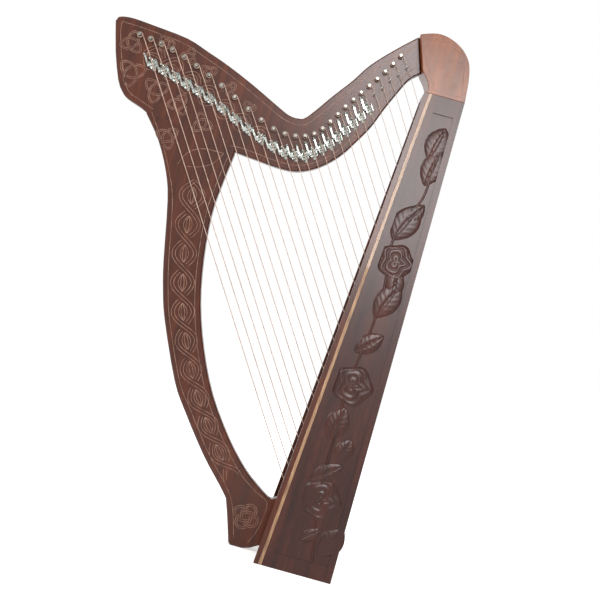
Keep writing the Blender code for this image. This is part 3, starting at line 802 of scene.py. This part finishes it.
@dataclass
class CarvedPanel:
    """Vine in relief inside the sunk field of a side panel."""

    name: str
    side: float
    relief: float = 2.3 * MM

    # The vine's own layout, placed in the photograph's pixels: tip, end and swell of each leaf
    leaves: tuple = (
        ((446, 128), (428, 160), 0.34), ((441, 150), (424, 186), 0.30), ((420, 206), (392, 240), 0.32),
        ((404, 224), (425, 205), 0.3), ((401, 284), (374, 318), 0.3), ((384, 336), (354, 352), 0.3),
        ((392, 300), (398, 268), 0.3), ((346, 408), (328, 440), 0.34), ((352, 440), (336, 462), 0.36),
        ((343, 466), (310, 480), 0.26), ((344, 530), (318, 556), 0.34), ((300, 540), (320, 530), 0.3),
    )
    # Centre and radius of each rose
    flowers: tuple = (((396, 262), 29 * MM), ((353, 386), 32 * MM), ((321, 500), 32 * MM))
    stem: tuple = (
        (438, 150), (424, 196), (402, 222), (390, 250), (384, 290), (374, 322), (362, 352), (348, 384),
        (338, 424), (328, 460), (318, 500), (314, 540), (312, 560),
    )
    stem_half_width: float = 2.1 * MM
    stem_relief: float = 1.8 * MM
    rib_depth: float = 0.55
    rib_half_width: float = 0.12
    vein_depth: float = 0.12
    vein_pairs: int = 7
    # How far the outermost points go below the field, so that no gap shows under them
    leaf_foot: float = 0.3 * MM
    foot: float = 0.2 * MM

    def spot(self, pixel: tuple[float, float]) -> np.ndarray:
        """X and Z on the panel of a place in the photograph."""
        reach = BOX_BOTTOM_HALF_WIDTH
        for _ in range(3):
            x, z = photo_to_plane(pixel, reach)
            reach = BOX_BOTTOM_HALF_WIDTH - BOX_TAPER * z
        return np.array([x, z])

    def lift(self, flat: np.ndarray, height: np.ndarray) -> np.ndarray:
        """Put X and Z points at a height over the sunk field."""
        y = self.side * (BOX_BOTTOM_HALF_WIDTH - BOX_TAPER * flat[..., 1] - FIELD_DEPTH + height)
        return np.stack([flat[..., 0], y, flat[..., 1]], axis=-1)

    def leaf(self, tip: tuple, end: tuple, swell: float) -> Any:
        """Pointed oval dome with a sunk rib and veins.

        The width follows a power of a sine along the leaf, and the dome is a half circle
        across it. The rib is a bell-shaped dip at the middle, the veins a slanted cosine.

        Args:
            tip: pixel of one end.
            end: pixel of the other.
            swell: half width for each length.

        Returns:
            The mesh.
        """
        start, stop = self.spot(tip), self.spot(end)
        along = stop - start
        across = np.array([-along[1], along[0]])
        t, s = np.meshgrid(np.linspace(0, 1, 28), np.linspace(-1, 1, 17), indexing="ij")
        width = swell * np.sin(np.pi * t) ** 0.75
        flat = start + t[..., None] * along + (s * width)[..., None] * across
        dome = np.sin(np.pi * t) ** 0.5 * (1 - s**2) ** 0.5
        rib = 1 - self.rib_depth * np.exp(-((s / self.rib_half_width) ** 2))
        veins = 1 - self.vein_depth * np.cos(2 * self.vein_pairs * np.pi * (t + 0.25 * np.abs(s)))
        height = self.relief * dome * rib * veins - self.leaf_foot * (np.abs(s) > 0.99)
        return grid_mesh(self.name, self.lift(flat, height), wrap=False, caps=False)

    def flower(self, centre: tuple, radius: float) -> Any:
        """Round rose with five lobes.

        The petals are waves along the radius whose phase swings with the angle. The rim
        slopes down to the field, and a bell-shaped bud is added in the middle.

        Args:
            centre: pixel of the middle.
            radius: radius in metres.

        Returns:
            The mesh.
        """
        middle = self.spot(centre)
        r, a = np.meshgrid(np.linspace(0, 1, 40), np.linspace(0, 2 * np.pi, 97), indexing="ij")
        edge = 1 + 0.07 * np.cos(5 * a)
        heading = np.stack([np.cos(a), np.sin(a)], axis=-1)
        flat = middle + (radius * r * edge)[..., None] * heading
        petals = 0.62 + 0.38 * np.abs(np.sin(3.0 * np.pi * r + 1.5 * np.sin(2.5 * a)))
        outer = np.clip((1 - r) * 7, 0, 1)
        bud = 0.25 * np.exp(-((r / 0.22) ** 2))
        height = self.relief * np.clip(petals * outer + bud, 0, 1) - self.foot * (r > 0.99)
        return grid_mesh(self.name, self.lift(flat, height), wrap=False, caps=False)

    def vine(self) -> Any:
        """Half-round stem along a smooth line."""
        nodes = [tuple(self.spot(pixel) / MM) for pixel in self.stem]
        line = smooth_line(nodes, 220)
        side = normals_2d(line)
        s = np.linspace(-1, 1, 9)
        flat = line[:, None] + side[:, None] * (s * self.stem_half_width)[None, :, None]
        height = self.stem_relief * (1 - s**2) ** 0.5 - self.foot * (np.abs(s) > 0.99)
        return grid_mesh(self.name, self.lift(flat, height), wrap=False, caps=False)

    def build(self, shop: Workshop) -> None:
        """Carve the vine."""
        meshes = [self.leaf(*leaf) for leaf in self.leaves]
        meshes += [self.flower(*flower) for flower in self.flowers]
        meshes.append(self.vine())
        mesh = joined(self.name, meshes)
        shop.place(self.name, mesh, "carved_rosewood", Finish.ROSEWOOD, "frame")


@dataclass
class TuningPin:
    """Steel pin: round where it holds the string, square where the tuning key goes."""

    number: int
    axis: np.ndarray
    string_radius: float
    radius: float = PIN_RADIUS
    turns: int = 4
    points_per_turn: int = 22
    # Start of the winding before the board's face, and the step of a turn in string radii
    winding_start: float = 8.5 * MM
    winding_step: float = 2.1
    # Stations along the pin: place and reach in millimetres, then 0 for round and 1 for square
    stations: tuple = (
        (-28, 0.0, 0), (-28, 2.5, 0), (-27.4, 3.1, 0), (-26.6, 3.2, 0), (17, 3.2, 0), (20, 2.5, 1),
        (35.4, 2.5, 1), (36, 2.0, 1), (36, 0.0, 1),
    )
    # A smaller value would make the square's corners sharper
    corner_cut: float = 0.76

    def shaft(self) -> Any:
        """Rings whose outline turns from a circle into a rounded square along the pin."""
        stations = np.array(self.stations)
        angle = np.linspace(0, 2 * np.pi, 32, endpoint=False)
        corner = np.maximum(np.abs(np.cos(angle)), np.abs(np.sin(angle)))
        stretch = 1 + stations[:, 2:3] * (1 / np.maximum(corner, self.corner_cut) - 1)
        reach = stations[:, 1:2] * MM * stretch
        x = self.axis[0] + reach * np.cos(angle)
        z = self.axis[2] + reach * np.sin(angle)
        y = np.broadcast_to(stations[:, :1] * MM, x.shape)
        return grid_mesh("pin", np.stack([x, y, z], axis=-1), wrap=True, caps=False)

    def winding(self) -> Any:
        """Helix of string round the pin, close to the wood."""
        t = np.linspace(0, 1, self.turns * self.points_per_turn)
        reach = self.radius + self.string_radius
        start = math.atan2(-TO_BASS[2], -TO_BASS[0])
        angle = start + 2 * np.pi * self.turns * t
        x = self.axis[0] + reach * np.cos(angle)
        z = self.axis[2] + reach * np.sin(angle)
        pitch = self.winding_step * self.string_radius
        y = NEAR_FACE_Y - self.winding_start + pitch * self.turns * t
        rings = tube_points(np.stack([x, y, z], axis=1), np.full(len(t), self.string_radius), 8)
        return grid_mesh("winding", rings, wrap=True, caps=True)

    def build(self, shop: Workshop) -> None:
        """Make the pin and its winding."""
        node = f"tuning_pin_{self.number:02d}"
        shaft = finish_mesh(self.shaft())
        pin = shop.place(f"pin_{self.number:02d}", shaft, "pin_steel", Finish.STEEL, node)
        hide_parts(node)
        coil = finish_mesh(self.winding())
        shop.place(f"winding_{self.number:02d}", coil, "drawn_nylon", Finish.NYLON, node)


@dataclass
class StringStop:
    """Bridge pin of one string, and the bracket of its lever where it has one."""

    number: int
    bend: np.ndarray
    string_radius: float
    pivot: np.ndarray | None
    # Turned outlines, as distance from the board and radius in millimetres
    pin_outline: tuple = (
        (-1, 0.0), (-1, 1.6), (0.8, 1.6), (1.0, 1.2), (11.8, 1.2), (12.4, 1.0), (13, 0.9), (13.6, 1.0),
        (14.2, 1.5), (15.4, 1.5), (16.0, 1.0), (16.2, 0.0),
    )
    groove_radius: float = 0.95 * MM
    tab_outline: tuple = ((0, 0.0), (0, 2.6), (0.8, 2.6), (0.9, 2.4), (0.9, 0.0))
    screw_outline: tuple = ((0, 0.0), (0, 2.0), (0.9, 1.9), (1.5, 1.3), (1.7, 0.0))
    tab_thickness: float = 0.9 * MM
    tab_along: float = 8.6 * MM
    tab_across: float = 0.7 * MM
    # Folded channel: its section across the string, and along it the ends with their taper
    channel: tuple = (
        (-4.6, 8.2), (-4.6, 1.4), (-4.3, 0.8), (-3.6, 0.5), (5.0, 0.5), (5.7, 0.8), (6.0, 1.4), (6.0, 8.2),
    )
    channel_half_wall: float = 0.5 * MM
    channel_ends: tuple = ((-6.4, 0.86), (-5.8, 1.0), (5.8, 1.0), (6.4, 0.86))

    def bridge_pin(self) -> Any:
        """Turned pin with a groove for the string and a domed end."""
        profile = np.array(self.pin_outline) * MM
        base = self.bend + TO_BASS * (self.string_radius + self.groove_radius)
        base[1] = NEAR_FACE_Y
        return grid_mesh("bridge_pin", lathe_points(profile, base, OUT, 16), wrap=True, caps=False)

    def bracket(self) -> list[Any]:
        """Folded plate under the lever: a channel with two ears, and two screw heads."""
        path = np.array(self.channel) * MM
        wall = normals_2d(path) * self.channel_half_wall
        ring = np.concatenate([path + wall, (path - wall)[::-1]])
        ends = np.array(self.channel_ends)
        along = ends[:, 0, None, None] * MM
        taper = ends[:, 1, None]
        across = ring[None, :, 0] * np.ones_like(taper)
        out = ring[None, :, 1] * taper
        foot = np.array([self.pivot[0], NEAR_FACE_Y, self.pivot[2]])
        points = foot + across[..., None] * TO_BASS + out[..., None] * OUT - along * STRING_DOWN
        meshes = [grid_mesh("bracket", points, wrap=True, caps=True)]
        for shift in (-self.tab_along, self.tab_along):
            tab = foot + STRING_DOWN * shift + TO_BASS * self.tab_across
            plate = lathe_points(np.array(self.tab_outline) * MM, tab, OUT, 20)
            meshes.append(grid_mesh("tab", plate, wrap=True, caps=False))
            top = tab + OUT * self.tab_thickness
            dome = lathe_points(np.array(self.screw_outline) * MM, top, OUT, 18)
            meshes.append(grid_mesh("screw", dome, wrap=True, caps=False))
        return meshes

    def build(self, shop: Workshop) -> None:
        """Make the pin and the bracket."""
        name = f"bridge_pin_{self.number:02d}"
        shop.place(name, finish_mesh(self.bridge_pin()), "nickel_plate", Finish.NICKEL, "frame")
        if self.pivot is not None:
            name = f"lever_bracket_{self.number:02d}"
            shop.place(name, joined(name, self.bracket()), "nickel_plate", Finish.NICKEL, "frame")


@dataclass
class Harp:
    """The whole harp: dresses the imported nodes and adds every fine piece."""

    frame: dict[str, Any]
    # Thinnest string in the treble, and how much thicker the last one is
    thin_radius: float = 0.35 * MM
    added_radius: float = 0.4 * MM
    # Bridge pin above the lever's pivot, or below the tuning pin where there is no lever
    lever_drop: float = 9 * MM
    bare_drops: tuple = (21.0, 18.9, 16.0, 16.6, 15.0)
    winding_gap: float = 0.4 * MM
    deflection: float = 1 * MM

    def string_radius(self, number: int) -> float:
        """Radius of a string, thin in the treble and thick in the bass."""
        return self.thin_radius + self.added_radius * (number - 1) / (STRING_COUNT - 1)

    def dress(self, shop: Workshop) -> None:
        """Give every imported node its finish."""
        finishes = {
            "neck": "lacquered_rosewood_neck", "shoulder_cap": "lacquered_rosewood_cap",
            "soundboard": "birch_plywood", "strings": "drawn_nylon",
            "near_side_panel": "carved_rosewood", "far_side_panel": "carved_rosewood",
        }
        for name, node in self.frame["nodes"].items():
            if name.startswith("lever"):
                shop.dress(node, "nickel_plate")
            elif name.startswith("tuning_pin"):
                shop.dress(node, "pin_steel")
            else:
                shop.dress(node, finishes.get(name, "lacquered_rosewood"))

    def build(self, shop: Workshop) -> None:
        """Add the fine pieces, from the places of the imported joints."""
        self.dress(shop)
        places = {joint["child"]: np.array(joint["pos_m"]) for joint in self.frame["joints"]}
        for number in range(1, STRING_COUNT + 1):
            axis = places[f"tuning_pin_{number:02d}"]
            radius = self.string_radius(number)
            TuningPin(number, axis, radius).build(shop)
            lever = places.get(f"lever_{number:02d}")
            if lever is None:
                lead = PIN_RADIUS + self.winding_gap + radius + self.deflection
                bend = axis - TO_BASS * lead + STRING_DOWN * self.bare_drops[number - 1] * MM
            else:
                bend = lever - STRING_DOWN * self.lever_drop
            StringStop(number, bend, radius, lever).build(shop)
        Engraving().build(shop)
        CarvedPanel("near_carving", -1.0).build(shop)
        CarvedPanel("far_carving", 1.0).build(shop)


@dataclass(frozen=True)
class Lamp:
    """Soft square lamp: place, point that it is aimed at, size in metres and power in watts."""

    name: str
    place: tuple[float, float, float]
    aim: tuple[float, float, float]
    size: float
    power: float

    def build(self) -> None:
        """Hang the lamp."""
        light = bpy.data.lights.new(self.name, "AREA")
        light.size = self.size
        light.energy = self.power
        item = bpy.data.objects.new(self.name, light)
        towards = Vector(self.aim) - Vector(self.place)
        turn = towards.to_track_quat("-Z", "Y").to_matrix().to_4x4()
        item.matrix_world = Matrix.Translation(self.place) @ turn
        bpy.context.scene.collection.objects.link(item)


@dataclass
class Studio:
    """Pale floor, white surroundings, soft lamps and the photograph's camera."""

    floor_radius: float = 60.0
    # The floor's ring is open in the middle, under the soundbox, and lies a little below it
    floor_hole: float = 0.01
    floor_drop: float = 0.0004
    floor_glow: float = 0.5
    soft_light: float = 0.55
    sensor_width: float = 36.0
    lamps: tuple[Lamp, ...] = (
        Lamp("sheen_lamp", (0.12, -2.0, 1.25), (0.0, 0.0, 0.7), 0.65, 24.0),
        Lamp("left_lamp", (-2.2, -1.8, 1.9), (-0.25, 0.0, 0.5), 1.2, 30.0),
        Lamp("back_lamp", (1.5, 2.2, 2.0), (0.0, 0.0, 0.5), 1.4, 40.0),
    )

    def seen_directly(self, tree: Any) -> Any:
        """Node that is 1 where the camera sees a surface itself or in a reflection."""
        path = add_node(tree, "ShaderNodeLightPath", {}, {})
        return add_node(
            tree, "ShaderNodeMath", {"operation": "MAXIMUM"},
            {0: path.outputs["Is Camera Ray"], 1: path.outputs["Is Glossy Ray"]},
        )

    def floor(self) -> None:
        """Round pale floor that keeps the harp's shadow."""
        ring = np.linspace(0, 2 * np.pi, 96, endpoint=False)
        circle = np.stack([np.cos(ring), np.sin(ring), np.zeros_like(ring)], axis=-1)
        points = np.array([self.floor_hole, self.floor_radius])[:, None, None] * circle
        mesh = grid_mesh("floor", points - np.array([0, 0, self.floor_drop]), wrap=True, caps=False)
        sockets = {"Base Color": linear("F4F4F4"), "Roughness": 0.9, "Emission Color": (1, 1, 1, 1)}
        material, tree, shader = start_material("pale_floor", sockets)
        glow = add_node(
            tree, "ShaderNodeMath", {"operation": "MULTIPLY"},
            {0: self.seen_directly(tree).outputs[0], 1: self.floor_glow},
        )
        tree.links.new(glow.outputs[0], shader.inputs["Emission Strength"])
        mesh.materials.append(material)
        plane = bpy.data.objects.new("floor", mesh)
        bpy.context.scene.collection.objects.link(plane)

    def world(self) -> None:
        """White surroundings at a plain level; white to the camera."""
        world = bpy.data.worlds.new("white")
        world.use_nodes = True
        tree = world.node_tree
        tree.nodes.clear()
        seen = self.seen_directly(tree)
        pure = (1, 1, 1, 1)
        soft = add_node(
            tree, "ShaderNodeBackground", {}, {"Color": pure, "Strength": self.soft_light}
        )
        white = add_node(tree, "ShaderNodeBackground", {}, {"Color": pure, "Strength": 1.0})
        mix = add_node(
            tree, "ShaderNodeMixShader", {},
            {0: seen.outputs[0], 1: soft.outputs[0], 2: white.outputs[0]},
        )
        add_node(tree, "ShaderNodeOutputWorld", {}, {"Surface": mix.outputs[0]})
        bpy.context.scene.world = world

    def camera(self) -> None:
        """Camera of the photograph: level with the harp's middle, rolled by the harp's lean."""
        data = bpy.data.cameras.new("camera")
        distance_in_pixels = CAMERA_DISTANCE / (PHOTO_MM_PER_PIXEL * MM)
        data.sensor_width = self.sensor_width
        data.lens = distance_in_pixels * self.sensor_width / PHOTO_SIZE
        item = bpy.data.objects.new("camera", data)
        x, z = photo_to_plane((PHOTO_CENTRE_PIXEL, PHOTO_CENTRE_PIXEL), 0.0)
        cos, sin = math.cos(PHOTO_LEAN), math.sin(PHOTO_LEAN)
        axes = Matrix(((cos, -sin, 0.0), (0.0, 0.0, -1.0), (sin, cos, 0.0))).to_4x4()
        item.matrix_world = Matrix.Translation((x, -CAMERA_DISTANCE, z)) @ axes
        bpy.context.scene.collection.objects.link(item)
        bpy.context.scene.camera = item

    def build(self) -> None:
        """Set up the studio."""
        self.floor()
        self.world()
        for lamp in self.lamps:
            lamp.build()
        self.camera()
        bpy.context.scene.view_settings.view_transform = "Standard"


def main() -> None:
    """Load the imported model, dress it and add the fine pieces."""
    logging.basicConfig(level=logging.INFO, format="%(name)s: %(message)s")
    for item in list(bpy.data.objects):
        bpy.data.objects.remove(item, do_unlink=True)
    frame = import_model()
    shop = Workshop()
    shop.prepare()
    Harp(frame).build(shop)
    Studio().build()


if __name__ == "__main__":
    main()
